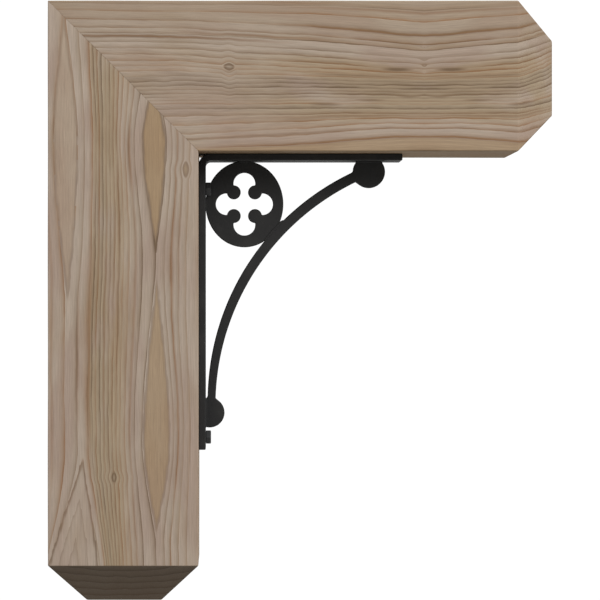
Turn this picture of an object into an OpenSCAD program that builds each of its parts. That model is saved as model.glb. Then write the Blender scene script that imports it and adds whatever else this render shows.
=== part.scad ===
// Wooden corbel bracket: two square timbers, mitred at the outer corner and
// chamfered at their free ends, with wrought ironwork in the inner corner.
//
// +Z is up. The wall plane is X = 0 and the bracket reaches out along +X.
// Y = 0 is the middle of the timbers. The origin is the middle of the flat
// face that the post puts against the wall.

/* [Timbers] */
// Height of the bracket, from the top of the beam to the foot of the post
bracket_h = 558.8; // [460:0.1:900]
// Reach of the bracket, from the wall to the nose of the beam
bracket_reach = 471; // [390:0.5:900]
// Side of the square that both timbers are sawn to
timber_w = 139.7; // [110:0.1:190]
// Size of the 45 degree chamfers round the free end of each timber
end_chamfer = 34.925; // [6:0.005:45]

/* [Strap] */
// Width of the flat bar that the strap is bent from
strap_w = 50.8; // [44:0.1:90]
// Thickness of the flat bar
strap_t = 6.5; // [3:0.1:12]
// Radius on the inside of the bend
bend_r = 4.5; // [2:0.1:12]
// Length of strap below the centre of the brace's lower disc
post_leg_tail = 34.3; // [28:0.1:60]
// Length of strap beyond the centre of the brace's upper disc
beam_leg_tail = 30.6; // [16:0.1:60]

/* [Ring] */
// Thickness of the plate that the ring and the brace are cut from
plate_t = 9.5; // [5:0.1:12]
// Half of the ring's width
ring_half_w = 36.9; // [34:0.1:50]
// Half of the ring's height
ring_half_h = 40.85; // [38:0.05:54]
// Radius of the quatrefoil's four lobes
lobe_r = 10.3; // [7:0.1:12]
// Distance of the left and right lobes from the middle of the ring
lobe_out_x = 16.75; // [13:0.05:20]
// Distance of the upper and lower lobes from the middle of the ring
lobe_out_z = 19.45; // [16:0.05:22]
// Radius of the four round cusps between the lobes
cusp_r = 6.55; // [5:0.05:8]
// Sideways distance of the cusps from the middle of the ring
cusp_out_x = 10; // [9:0.1:13]
// Upright distance of the cusps from the middle of the ring
cusp_out_z = 11.2; // [10:0.1:15]

/* [Brace] */
// Radius of the brace's inner edge
brace_r = 235; // [190:0.5:300]
// How far the inner edge's full circle would rise above the strap's underside
brace_rise = 3.7; // [2:0.1:20]
// Width of the bar where it is widest, seen from the side
bar_w = 9.9; // [7:0.1:16]
// Width of the bar at its foot, beside the post
bar_foot_w = 7.6; // [4:0.1:9.8]
// Angle round the brace, from level, at which the bar is widest
bar_wide_at = 127; // [115:1:140]
// Gap between the strap and the bar's outer edge at the foot
bar_foot_gap = 1.7; // [0.5:0.1:3.6]
// Radius of the disc at the brace's upper end
upper_disc_r = 15.3; // [12:0.1:22]
// Depth of the upper disc's centre below the strap
upper_disc_gap = 10; // [3:0.1:11]
// Distance of the upper disc's centre outside the bar's inner edge
upper_disc_out = 3.8; // [1:0.1:8]
// Radius of the disc at the brace's lower end
lower_disc_r = 14.1; // [9:0.1:17]
// Distance of the lower disc's centre from the strap
lower_disc_gap = 3.7; // [1:0.1:7]
// Depth of the lower disc's centre below the centre of the brace's circle
lower_disc_sink = 6.8; // [2:0.1:12]

/* [Lag screws] */
// Size of the hexagon heads across their flats
head_af = 12.3; // [9:0.1:15]
// Height of the heads
head_h = 5; // [3:0.1:8]
// Diameter of the shanks
shank_d = 7.9; // [5:0.1:9]
// Length of a shank under its head, with the point
shank_len = 57; // [30:1:90]
// Length of the point
point_len = 9; // [4:1:16]
// Extra diameter of the holes in the strap
strap_hole_clear = 1; // [0.2:0.1:2]
// Extra diameter of the holes bored in the timbers
bore_clear = 0.3; // [0.1:0.1:1]
// How far the screws beside the ring and the upper disc are set off centre
screw_offset = 14; // [12:0.1:16]
// Depth of the upper post screw below the strap's underside
corner_screw_drop = 26.7; // [16:0.1:40]
// Distance of the lowest screw from the end of the strap
end_screw_edge = 11.1; // [9:0.1:14]

/* [Fits] */
// Depth that the ring and the brace are filed flat where they meet the strap
weld_flat = 0.3; // [0.1:0.1:1]
// Gap between the ring and the brace, which the weld fills
weld_gap = 0.2; // [0.1:0.1:0.5]
// Least depth that the ring's oval reaches into the brace, which is cut off it
weld_reach = 0.8; // [0.3:0.1:1.2]

/* [Hidden] */

timber_colour = [0.62, 0.53, 0.43];
iron_colour = [0.17, 0.17, 0.17];
screw_colour = [0.22, 0.22, 0.22];

round_steps = 96;
past = 1;                       // how far a cutter runs past what it cuts

// Levels and wall distances of the timbers
top_z = (bracket_h - end_chamfer) / 2;
foot_z = top_z - bracket_h;
beam_under_z = top_z - timber_w;

// Faces of the strap that the ring, the brace and the screw heads meet
leg_face_x = timber_w + strap_t;
leg_face_z = beam_under_z - strap_t;

// Centre of the brace's inner edge
brace_x = leg_face_x + bar_foot_gap + bar_foot_w + brace_r;
brace_z = leg_face_z - brace_r + brace_rise;

// The outer edge is a circle set off towards the place where the bar is widest
bar_set_off = (bar_w - bar_foot_w) / (1 - cos(180 - bar_wide_at));
bar_outer_r = brace_r + bar_w - bar_set_off;
bar_outer_x = brace_x + bar_set_off * cos(bar_wide_at);
bar_outer_z = brace_z + bar_set_off * sin(bar_wide_at);

// Centres of the brace's end discs
upper_disc_z = leg_face_z - upper_disc_gap;
upper_disc_arm = brace_r + upper_disc_out;
upper_disc_x = brace_x - sqrt(pow(upper_disc_arm, 2) - pow(upper_disc_z - brace_z, 2));
lower_disc_x = leg_face_x + lower_disc_gap;
lower_disc_z = brace_z - lower_disc_sink;

// Ends of the strap
post_leg_end_z = lower_disc_z - post_leg_tail;
beam_leg_end_x = upper_disc_x + beam_leg_tail;

// The ring lies in the corner of the strap. Its oval grows evenly where the
// brace would otherwise be out of its reach.
function ring_place(w, h) = [leg_face_x + w - weld_flat, leg_face_z - h + weld_flat];
function reach_into_brace(w, h) =
    let (
        way = [bar_outer_x, bar_outer_z] - ring_place(w, h),
        unit = way / norm(way),
        oval_reach = 1 / norm([unit[0] / w, unit[1] / h])
    )
    oval_reach + bar_outer_r - norm(way);
function growth_between(low, high, tries) =
    let (middle = (low + high) / 2)
    tries == 0 ? middle :
    reach_into_brace(ring_half_w + middle, ring_half_h + middle) < weld_reach
        ? growth_between(middle, high, tries - 1)
        : growth_between(low, middle, tries - 1);
ring_growth = reach_into_brace(ring_half_w, ring_half_h) < weld_reach
    ? growth_between(0, brace_r, 40)
    : 0;
oval_w = ring_half_w + ring_growth;
oval_h = ring_half_h + ring_growth;
ring_x = ring_place(oval_w, oval_h)[0];
ring_z = ring_place(oval_w, oval_h)[1];

// Places of the lag screws along the legs
post_upper_screw_z = leg_face_z - corner_screw_drop;
post_lower_screw_z = post_leg_end_z + end_screw_edge;
beam_inner_screw_x = ring_x;
beam_outer_screw_x = upper_disc_x;

head_across_corners = head_af / cos(30);
straight_shank = shank_len - point_len;
point_tip_d = shank_d / 5;

// Stands a flat outline, drawn in X and Z, upright in the middle of the timbers
module upright(thick) {
    rotate([90, 0, 0])
        linear_extrude(height = thick, center = true)
            children();
}

// Carries something drawn along +X, its head's seat at X = 0, to the post leg
module on_post_leg(y, z) {
    translate([leg_face_x, y, z]) children();
}

// Carries the same to the beam leg, where its axis points down
module on_beam_leg(x, y) {
    translate([x, y, leg_face_z]) rotate([0, 90, 0]) children();
}

module at_post_upper() {
    on_post_leg(-screw_offset, post_upper_screw_z) children();
}

module at_post_lower() {
    on_post_leg(0, post_lower_screw_z) children();
}

module at_beam_inner() {
    on_beam_leg(beam_inner_screw_x, screw_offset) children();
}

module at_beam_outer() {
    on_beam_leg(beam_outer_screw_x, screw_offset) children();
}

// Straight hole for a shank, from the screw's seat inwards
module shank_hole(extra_d, deep) {
    translate([-deep, 0, 0])
        rotate([0, 90, 0])
            cylinder(d = shank_d + extra_d, h = deep + past, $fn = round_steps);
}

// Side of the post: mitred at the top, chamfered at the foot
module post_side() {
    polygon([
        [0, top_z],
        [timber_w, beam_under_z],
        [timber_w, foot_z + end_chamfer],
        [timber_w - end_chamfer, foot_z],
        [end_chamfer, foot_z],
        [0, foot_z + end_chamfer]
    ]);
}

// Side of the beam: mitred over the post, chamfered at the nose
module beam_side() {
    polygon([
        [0, top_z],
        [timber_w, beam_under_z],
        [bracket_reach - end_chamfer, beam_under_z],
        [bracket_reach, beam_under_z + end_chamfer],
        [bracket_reach, top_z - end_chamfer],
        [bracket_reach - end_chamfer, top_z]
    ]);
}

// Timber of a given length along +Y of the drawing, its last end chamfered
module chamfered_plan(length) {
    half = timber_w / 2;
    polygon([
        [-half, 0],
        [half, 0],
        [half, length - end_chamfer],
        [half - end_chamfer, length],
        [-half + end_chamfer, length],
        [-half, length - end_chamfer]
    ]);
}

module post() {
    color(timber_colour)
        difference() {
            intersection() {
                upright(timber_w) post_side();
                translate([-past, 0, top_z])
                    rotate([0, 90, 0])
                        rotate([0, 0, -90])
                            linear_extrude(height = timber_w + 2 * past)
                                chamfered_plan(bracket_h);
            }
            at_post_upper() shank_hole(bore_clear, shank_len + past);
            at_post_lower() shank_hole(bore_clear, shank_len + past);
        }
}

module beam() {
    color(timber_colour)
        difference() {
            intersection() {
                upright(timber_w) beam_side();
                translate([0, 0, beam_under_z - past])
                    rotate([0, 0, -90])
                        linear_extrude(height = timber_w + 2 * past)
                            chamfered_plan(bracket_reach);
            }
            at_beam_inner() shank_hole(bore_clear, shank_len + past);
            at_beam_outer() shank_hole(bore_clear, shank_len + past);
        }
}

// Block with one round corner, its upright face at x and its top at z
module round_cornered(x, z, r, run) {
    end = [beam_leg_end_x + run, post_leg_end_z - run];
    translate([x + r, end[1]]) square([end[0] - x - r, z - end[1]]);
    translate([x, end[1]]) square([end[0] - x, z - r - end[1]]);
    translate([x + r, z - r]) circle(r = r, $fn = round_steps);
}

// Edge of the strap: a block with a round outer corner, less one with a round
// inner corner
module strap_edge() {
    difference() {
        round_cornered(timber_w, beam_under_z, bend_r + strap_t, 0);
        round_cornered(leg_face_x, leg_face_z, bend_r, past);
    }
}

module iron_strap() {
    color(iron_colour)
        difference() {
            upright(strap_w) strap_edge();
            at_post_upper() shank_hole(strap_hole_clear, strap_t + past);
            at_post_lower() shank_hole(strap_hole_clear, strap_t + past);
            at_beam_inner() shank_hole(strap_hole_clear, strap_t + past);
            at_beam_outer() shank_hole(strap_hole_clear, strap_t + past);
        }
}

// Oval of the ring, worked out by angle
module ring_oval() {
    polygon([
        for (i = [0 : round_steps - 1])
            let (a = 360 * i / round_steps)
                [oval_w * cos(a), oval_h * sin(a)]
    ]);
}

// Opening of the ring: four lobes round a square, less the four cusps, whose
// centres are the square's corners
module quatrefoil() {
    difference() {
        union() {
            for (side = [-1, 1]) {
                translate([side * lobe_out_x, 0])
                    circle(r = lobe_r, $fn = round_steps);
                translate([0, side * lobe_out_z])
                    circle(r = lobe_r, $fn = round_steps);
            }
            square([2 * cusp_out_x, 2 * cusp_out_z], center = true);
        }
        for (side_x = [-1, 1], side_z = [-1, 1])
            translate([side_x * cusp_out_x, side_z * cusp_out_z])
                circle(r = cusp_r, $fn = round_steps);
    }
}

// Everything behind the strap's inner faces, which trims what meets them
module behind_strap() {
    reach = 2 * brace_r;
    translate([leg_face_x - reach, leg_face_z - 2 * reach])
        square([reach, 3 * reach]);
    translate([leg_face_x - past, leg_face_z])
        square([2 * reach, reach]);
}

module quatrefoil_ring() {
    color(iron_colour)
        upright(plate_t)
            difference() {
                translate([ring_x, ring_z])
                    difference() {
                        ring_oval();
                        quatrefoil();
                    }
                behind_strap();
                translate([bar_outer_x, bar_outer_z])
                    circle(r = bar_outer_r + weld_gap, $fn = 4 * round_steps);
            }
}

// The sector that the brace's bar takes up, from one disc to the other
module brace_sector() {
    centre = [brace_x, brace_z];
    polygon([
        centre,
        centre + 2 * ([upper_disc_x, upper_disc_z] - centre),
        centre + 2 * brace_r * [-1, 1],
        centre + 2 * ([lower_disc_x, lower_disc_z] - centre)
    ]);
}

module curved_brace() {
    color(iron_colour)
        upright(plate_t)
            difference() {
                union() {
                    intersection() {
                        difference() {
                            translate([bar_outer_x, bar_outer_z])
                                circle(r = bar_outer_r, $fn = 4 * round_steps);
                            translate([brace_x, brace_z])
                                circle(r = brace_r, $fn = 4 * round_steps);
                        }
                        brace_sector();
                    }
                    translate([upper_disc_x, upper_disc_z])
                        circle(r = upper_disc_r, $fn = round_steps);
                    translate([lower_disc_x, lower_disc_z])
                        circle(r = lower_disc_r, $fn = round_steps);
                }
                behind_strap();
            }
}

// Lag screw along X: hexagon head on +X, shank and point on -X
module lag_screw() {
    color(screw_colour)
        union() {
            rotate([0, 90, 0])
                rotate([0, 0, 90])
                    cylinder(d = head_across_corners, h = head_h, $fn = 6);
            translate([-straight_shank, 0, 0])
                rotate([0, 90, 0])
                    cylinder(d = shank_d, h = straight_shank + past, $fn = round_steps);
            translate([-shank_len, 0, 0])
                rotate([0, 90, 0])
                    cylinder(d1 = point_tip_d, d2 = shank_d, h = point_len, $fn = round_steps);
        }
}

module lag_screw_post_upper() {
    at_post_upper() lag_screw();
}

module lag_screw_post_lower() {
    at_post_lower() lag_screw();
}

module lag_screw_beam_inner() {
    at_beam_inner() lag_screw();
}

module lag_screw_beam_outer() {
    at_beam_outer() lag_screw();
}

post();
beam();
iron_strap();
quatrefoil_ring();
curved_brace();
lag_screw_post_upper();
lag_screw_post_lower();
lag_screw_beam_inner();
lag_screw_beam_outer();
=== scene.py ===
"""Looks of a timber corbel bracket with black ironwork in its inner corner.

Every length that a class states is in millimetres, as in the bracket's own
source, and is turned to metres when a mesh is filled. +Z is up, the wall plane
is X = 0, and Y = 0 is the middle of the timbers.
"""
import logging
import math
from collections.abc import Callable
from dataclasses import dataclass
from enum import Enum
from typing import ClassVar

import bmesh
import bpy
import numpy as np
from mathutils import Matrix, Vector


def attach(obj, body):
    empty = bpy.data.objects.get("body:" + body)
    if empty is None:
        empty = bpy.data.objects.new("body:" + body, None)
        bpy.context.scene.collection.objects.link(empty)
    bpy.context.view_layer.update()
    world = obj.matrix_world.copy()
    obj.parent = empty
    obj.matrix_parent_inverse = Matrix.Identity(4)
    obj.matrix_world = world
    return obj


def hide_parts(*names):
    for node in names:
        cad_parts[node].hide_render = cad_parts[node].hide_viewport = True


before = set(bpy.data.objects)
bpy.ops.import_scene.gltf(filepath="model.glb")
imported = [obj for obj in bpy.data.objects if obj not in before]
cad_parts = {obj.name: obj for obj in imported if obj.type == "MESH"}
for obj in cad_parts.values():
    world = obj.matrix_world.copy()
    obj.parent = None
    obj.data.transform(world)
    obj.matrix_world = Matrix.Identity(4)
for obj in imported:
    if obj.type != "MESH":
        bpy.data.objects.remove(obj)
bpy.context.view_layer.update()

LOG = logging.getLogger("corbel")
MM = 0.001
BODY = "root"
MERGE_REACH = 1e-6
WIDE_FACE_WEIGHT = 80
EULER = 2.7183
Colour = tuple[float, float, float]
Point = tuple[float, float, float]


# ---- Shader writing ----
def arithmetic(operation: str, swapped: bool = False) -> Callable:
    """Makes the method of an operator that adds one Math node.

    Args:
        operation: the node's operation.
        swapped: whether the other value is on the left.

    Returns:
        The method.
    """
    def method(self: "Wire", other: "Wire | float") -> "Wire":
        """Adds the node."""
        values = (other, self) if swapped else (self, other)
        return self.graph.math(operation, *values)
    return method


class Wire:
    """One output socket, with arithmetic that adds Math nodes behind it."""

    def __init__(self, graph: "Graph", socket: bpy.types.NodeSocket) -> None:
        """Keeps the graph that the socket belongs to."""
        self.graph = graph
        self.socket = socket

    __add__, __radd__ = arithmetic("ADD"), arithmetic("ADD", True)
    __sub__, __rsub__ = arithmetic("SUBTRACT"), arithmetic("SUBTRACT", True)
    __mul__ = arithmetic("MULTIPLY")
    __truediv__ = arithmetic("DIVIDE")


class Graph:
    """Node tree of one material or of the world."""

    def __init__(self, owner: bpy.types.ID) -> None:
        """Empties the node tree of a new material or world."""
        self.owner = owner
        owner.use_nodes = True
        self.tree = owner.node_tree
        self.tree.nodes.clear()

    def node(self, kind: str, settings: dict | None = None,
             values: dict | None = None) -> bpy.types.Node:
        """Adds any node.

        Args:
            kind: the node's type.
            settings: its properties, set first; "stops" fills a ramp.
            values: numbers, colours or wires for its sockets, by name or place.

        Returns:
            The node.
        """
        made = self.tree.nodes.new(kind)
        for key, value in (settings or {}).items():
            if key == "stops":
                points = made.color_ramp.elements
                while len(points) < len(value):
                    points.new(1.0)
                for point, (place, colour) in zip(points, value):
                    point.position = place
                    point.color = (*colour, 1.0)
            else:
                setattr(made, key, value)
        for key, value in (values or {}).items():
            socket = made.inputs[key]
            if isinstance(value, Wire):
                self.tree.links.new(value.socket, socket)
            elif isinstance(value, tuple) and socket.type == "RGBA":
                socket.default_value = (*value, 1.0)
            else:
                socket.default_value = value
        return made

    def wire(self, node: bpy.types.Node, output: str | int = 0) -> Wire:
        """Output of a node, as a wire."""
        return Wire(self, node.outputs[output])

    def math(self, operation: str, *operands: Wire | float) -> Wire:
        """Adds one Math node with numbers or wires, in order."""
        values = dict(enumerate(operands))
        return self.wire(self.node("ShaderNodeMath", {"operation": operation}, values))

    def most(self, one: Wire | float, other: Wire | float) -> Wire:
        """Greater of two values."""
        return self.math("MAXIMUM", one, other)

    def decay(self, distance: Wire, rate: float = 1.0) -> Wire:
        """Falls from 1 at distance 0, as e to the power of -rate * distance."""
        return self.math("POWER", EULER, distance * -rate)

    def rise(self, value: Wire, low: float, high: float) -> Wire:
        """Smooth step of a value, from 0 at low to 1 at high."""
        step = self.node("ShaderNodeMapRange", {"interpolation_type": "SMOOTHSTEP"},
                         {0: value, 1: low, 2: high, 3: 0.0, 4: 1.0})
        return self.wire(step)

    def fall(self, value: Wire, low: float, high: float) -> Wire:
        """Smooth step of a value, from 1 at low to 0 at high."""
        return 1.0 - self.rise(value, low, high)

    def vector(self, x: Wire | float, y: Wire | float, z: Wire | float) -> Wire:
        """Three numbers as one vector."""
        return self.wire(self.node("ShaderNodeCombineXYZ", None, {0: x, 1: y, 2: z}))

    def noise(self, where: Wire, scale: float, detail: float = 2.0,
              roughness: float = 0.5) -> Wire:
        """Soft noise from 0 to 1.

        Args:
            where: the place it is read at.
            scale: waves per unit.
            detail: number of finer layers.
            roughness: share of each finer layer.

        Returns:
            The noise.
        """
        values = {"Vector": where, "Scale": scale, "Detail": detail,
                  "Roughness": roughness}
        return self.wire(self.node("ShaderNodeTexNoise", None, values))

    def blend(self, share: Wire | float, low: Wire | Colour, high: Wire | Colour,
              way: str = "MIX") -> Wire:
        """Mixes two colours.

        Args:
            share: how much of the second shows.
            low: first colour.
            high: second colour.
            way: blend type.

        Returns:
            The colour.
        """
        settings = {"data_type": "RGBA", "blend_type": way, "clamp_factor": True}
        mix = self.node("ShaderNodeMix", settings, {0: share, 6: low, 7: high})
        return self.wire(mix, 2)

    def ramp(self, share: Wire, stops: list[tuple[float, Colour]]) -> Wire:
        """Straight ramp through stops, each a place and a colour."""
        return self.wire(self.node("ShaderNodeValToRGB", {"stops": stops}, {0: share}))

    def places(self) -> tuple[Wire, Wire, Wire]:
        """Object coordinates in millimetres, as three wires."""
        where = self.node("ShaderNodeTexCoord")
        parts = self.node("ShaderNodeSeparateXYZ", None, {0: self.wire(where, "Object")})
        return tuple(self.wire(parts, i) * (1 / MM) for i in range(3))

    def surface(self, values: dict, bump: Wire | None = None,
                bump_height: float = MM) -> bpy.types.Material:
        """Ends the tree in a Principled shader.

        Args:
            values: numbers or wires for its sockets.
            bump: relief from 0 to 1.
            bump_height: height of that relief, in metres.

        Returns:
            The material.
        """
        if bump is not None:
            relief = self.node("ShaderNodeBump", None,
                               {"Strength": 1.0, "Distance": bump_height,
                                "Height": bump})
            values = {**values, "Normal": self.wire(relief)}
        shader = self.node("ShaderNodeBsdfPrincipled", None, values)
        self.node("ShaderNodeOutputMaterial", None, {0: self.wire(shader)})
        return self.owner


# ---- Sizes ----
@dataclass(frozen=True)
class Layout:
    """Sizes and places that several pieces share, as in the bracket's source."""

    bracket_h: float = 558.8
    bracket_reach: float = 471.0
    timber_w: float = 139.7
    end_chamfer: float = 34.925
    strap_w: float = 50.8
    strap_t: float = 6.5
    bend_r: float = 4.5
    post_leg_tail: float = 34.3
    beam_leg_tail: float = 30.6
    plate_t: float = 9.5
    ring_half_w: float = 36.9
    ring_half_h: float = 40.85
    brace_r: float = 235.0
    brace_rise: float = 3.7
    bar_w: float = 9.9
    bar_foot_w: float = 7.6
    bar_wide_at: float = math.radians(127.0)
    bar_foot_gap: float = 1.7
    upper_disc_r: float = 15.3
    upper_disc_gap: float = 10.0
    upper_disc_out: float = 3.8
    lower_disc_r: float = 14.1
    lower_disc_gap: float = 3.7
    lower_disc_sink: float = 6.8
    weld_flat: float = 0.3
    weld_gap: float = 0.2
    screw_offset: float = 14.0
    corner_screw_drop: float = 26.7
    end_screw_edge: float = 11.1

    @property
    def top_z(self) -> float:
        """Level of the beam's top."""
        return (self.bracket_h - self.end_chamfer) / 2

    @property
    def under_z(self) -> float:
        """Level of the beam's underside."""
        return self.top_z - self.timber_w

    @property
    def leg_x(self) -> float:
        """Inner face of the strap's post leg."""
        return self.timber_w + self.strap_t

    @property
    def leg_z(self) -> float:
        """Underside of the strap's beam leg."""
        return self.under_z - self.strap_t

    @property
    def brace(self) -> np.ndarray:
        """Centre of the brace's inner edge."""
        return np.array([self.leg_x + self.bar_foot_gap + self.bar_foot_w + self.brace_r,
                         self.leg_z - self.brace_r + self.brace_rise])

    @property
    def bar_set_off(self) -> float:
        """Offset of the outer edge's centre from the inner edge's."""
        return (self.bar_w - self.bar_foot_w) / (1 + math.cos(self.bar_wide_at))

    @property
    def bar_outer_r(self) -> float:
        """Radius of the brace's outer edge."""
        return self.brace_r + self.bar_w - self.bar_set_off

    @property
    def bar_outer(self) -> np.ndarray:
        """Centre of the brace's outer edge."""
        way = np.array([math.cos(self.bar_wide_at), math.sin(self.bar_wide_at)])
        return self.brace + self.bar_set_off * way

    @property
    def upper_disc(self) -> np.ndarray:
        """Centre of the brace's upper disc."""
        z = self.leg_z - self.upper_disc_gap
        arm = self.brace_r + self.upper_disc_out
        return np.array([self.brace[0] - math.sqrt(arm ** 2 - (z - self.brace[1]) ** 2), z])

    @property
    def lower_disc(self) -> np.ndarray:
        """Centre of the brace's lower disc."""
        return np.array([self.leg_x + self.lower_disc_gap,
                         self.brace[1] - self.lower_disc_sink])

    @property
    def ring(self) -> np.ndarray:
        """Centre of the ring."""
        return np.array([self.leg_x + self.ring_half_w - self.weld_flat,
                         self.leg_z - self.ring_half_h + self.weld_flat])

    @property
    def post_leg_end(self) -> float:
        """Level of the strap's lower end."""
        return self.lower_disc[1] - self.post_leg_tail

    @property
    def beam_leg_end(self) -> float:
        """Place of the strap's outer end."""
        return self.upper_disc[0] + self.beam_leg_tail


# ---- Finishes ----
class Grain(Enum):
    """Which way the fibres of a timber run."""

    UPRIGHT = "upright"
    LEVEL = "level"


@dataclass(frozen=True)
class Waves:
    """Noise drawn out along the fibres.

    Attributes:
        across: waves per millimetre over the width and with depth.
        along: waves per millimetre along the fibres.
        detail: number of finer layers.
        rough: share of each finer layer.
        start: where it starts along the fibres.
    """

    across: float
    along: float
    detail: float = 2.0
    rough: float = 0.5
    start: float = 0.0

    def read(self, g: Graph, across: Wire, along: Wire, depth: Wire | float) -> Wire:
        """Noise from 0 to 1 at a place in the timber."""
        sideways = depth * self.across
        where = g.vector(across * self.across, along * self.along + self.start, sideways)
        return g.noise(where, 1.0, self.detail, self.rough)


@dataclass(frozen=True)
class Island:
    """Long pointed patch that the growth rings run round.

    Attributes:
        across: place of its middle over the width.
        along: place of its widest part along the fibres.
        half_w: half of its width there.
        up: length from there to its upper point.
        down: length from there to its lower point.
        lean: how far its middle moves over for each unit along it.
        warm: how warm the wood in it is, from 0 to 1.
        edge: strength of the dark line round it.
        nest: spacing of the lines inside it, or 0 for none.
    """

    across: float
    along: float
    half_w: float
    up: float
    down: float
    lean: float = 0.0
    warm: float = 0.0
    edge: float = 0.8
    nest: float = 0.0


@dataclass(frozen=True)
class Vein:
    """Strong latewood line that follows the rings for part of their length.

    Attributes:
        place: place among the rings.
        width: half of its width.
        along: middle of its run along the fibres.
        reach: half of that run.
        force: how dark it is.
        hue: 0 for brown, 1 for orange.
    """

    place: float
    width: float
    along: float
    reach: float
    force: float
    hue: float = 0.0


@dataclass
class Marks:
    """What the islands and veins do to the wood, as numbers or wires.

    Attributes:
        dark: strength of the strong lines.
        hue: how orange they are.
        inside: where the islands are.
        warm: how warm the wood is.
    """

    dark: Wire | float = 0.0
    hue: Wire | float = 0.0
    inside: Wire | float = 0.0
    warm: Wire | float = 0.0


@dataclass(frozen=True)
class TimberFinish:
    """Planed softwood, its growth rings worked out through the whole timber.

    Attributes:
        name: name of the material.
        grain: way of the fibres.
        lay: shared sizes.
        rings: growth rings counted from the first face, as (place, count).
        islands: pointed patches on both wide faces.
        veins: strong lines on the same faces.
        warm_from: place from which the wood is warmer.
        shaded_to: place up to which the wood is a little darker.
        calm: how much fainter the grain gets far along the fibres.
        bold: how strong the growth lines are.
        slant: how far the rings move over for each unit of depth.
        bow: radius that the rings bend to with depth.
        sway: distance over which the rings straighten beside an island.
        sag_x: where along the level timber its rings sag.
        sag_soft: how far from there the sag is rounded.
        sag_reach: distance over which the rings straighten out again.
        sag_over, sag_under: slopes of the rings above and below the middle.
        pith: place of the pith seen on the upright timber's sawn end, over the
            width and in front of the face.
        end_ring: growth rings' spacing on that end.
        span: places that the ring ramps cover.
        wander: noises that move the rings over, each with its swing.
        fray: noise that frays the islands' edges.
        fibre: coarse fibres.
        hair: fine fibres.
        cloud: patches of darker wood.
        tone: patches of pinker wood.
    """

    name: str
    grain: Grain
    lay: Layout
    rings: tuple[tuple[float, float], ...]
    islands: tuple[Island, ...]
    veins: tuple[Vein, ...]
    warm_from: float = 400.0
    shaded_to: float = -400.0
    calm: float = 0.0
    bold: float = 1.0
    slant: float = 0.16
    bow: float = 150.0
    sway: float = 14.0
    sag_x: float = 349.0
    sag_soft: float = 20.0
    sag_reach: float = 220.0
    sag_over: float = 0.096
    sag_under: float = 0.066
    pith: tuple[float, float] = (68.0, 42.0)
    end_ring: float = 6.2
    span: tuple[float, float] = (-40.0, 320.0)
    wander: tuple[tuple[Waves, float], ...] = (
        (Waves(0.012, 0.0055, 1.0), 7.0), (Waves(0.055, 0.024), 2.6),
        (Waves(0.20, 0.085, 1.0), 0.7))
    fray: Waves = Waves(0.32, 0.045)
    fibre: Waves = Waves(1.1, 0.020, 3.0, 0.6)
    hair: Waves = Waves(3.2, 0.07, 2.0, 0.6)
    cloud: Waves = Waves(0.04, 0.011)
    tone: Waves = Waves(0.028, 0.009, start=9.0)
    light: Colour = (0.435, 0.355, 0.290)
    rosy: Colour = (0.385, 0.293, 0.238)
    middle: Colour = (0.310, 0.225, 0.140)
    olive: Colour = (0.362, 0.276, 0.164)
    warm: Colour = (0.330, 0.216, 0.108)
    dark: Colour = (0.132, 0.080, 0.042)
    orange: Colour = (0.245, 0.115, 0.042)
    # Sawn ends, the post's lower chamfers included: end grain is darker than the face, and
    # these two colours are darker still with painted shade.
    end_grain_and_painted_shade: Colour = (0.082, 0.060, 0.042)
    end_lines_and_painted_shade: Colour = (0.026, 0.017, 0.011)

    def ring_ramps(self) -> tuple[list, list, float]:
        """Ramps for the ring count and for how fast it rises.

        Returns:
            Stops of the count, stops of the slope, and the highest count.
        """
        low, high = self.span
        places, counts = np.array(self.rings).T
        share = (places - low) / (high - low)
        slopes = np.diff(counts) / np.diff(places)

        def stops(where: np.ndarray, values: np.ndarray) -> list:
            """Stops of a grey ramp."""
            return [(float(s), (float(v),) * 3) for s, v in zip(where, values)]

        top = float(counts.max())
        middles = (share[1:] + share[:-1]) / 2
        return stops(share, counts / top), stops(middles, slopes), top

    def place_of(self, g: Graph, across: Wire, along: Wire, depth: Wire) -> Wire:
        """Place over the width that the rings are read at.

        It is the place itself, moved by the wander, plus the slant times the
        depth and the depth squared over twice the bow.

        Args:
            g: node tree.
            across: place over the width.
            along: place along the fibres.
            depth: depth behind the face.

        Returns:
            The place among the rings.
        """
        moved = across
        for waves, swing in self.wander:
            moved = moved + (waves.read(g, across, along, depth) - 0.5) * swing
        return moved + depth * self.slant + depth * depth * (0.5 / self.bow)

    def around(self, g: Graph, island: Island, across: Wire, along: Wire,
               fray: Wire) -> tuple[Wire, Wire, Wire]:
        """Pushes the rings round an island.

        Its half width is (1 - way^1.8)^1.4 of the widest, where way is the
        share of the run to its point. A ring at a distance beyond its edge is
        read as that distance plus the half width times
        1 - exp(-distance / sway).

        Args:
            g: node tree.
            island: the island.
            across: place over the width.
            along: place along the fibres.
            fray: how far its edge is frayed outwards.

        Returns:
            The push, the dark line round the island, and its inside.
        """
        run = along - island.along
        side = across - island.across - run * island.lean
        reach = g.math("ABSOLUTE", side)
        way = g.most(run / island.up, run / -island.down)
        left = g.most(1.0 - g.math("POWER", way, 1.8), 0.0)
        half = g.math("POWER", left, 1.4) * island.half_w
        gap = reach - half
        beyond = g.most(gap, 0.0)
        settle = 1.0 - g.decay(beyond, 1.0 / self.sway)
        push = (beyond + half * settle - reach) * g.math("SIGN", side)
        there = g.rise(half, 0.15, 1.4)
        edge = gap + fray * min(1.0, island.half_w / 8.0)
        inside = g.fall(edge, -2.0, -0.3) * there
        rim = g.rise(edge, -3.2, -0.5) * g.fall(edge, -0.1, 0.5) * there
        line = rim * island.edge
        if island.nest:
            inner = g.math("FRACT", edge * (-1.0 / island.nest)) * island.nest
            line = g.most(line, g.decay(inner, 0.6) * inside * island.edge * 0.6)
        return push, line, inside

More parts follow.
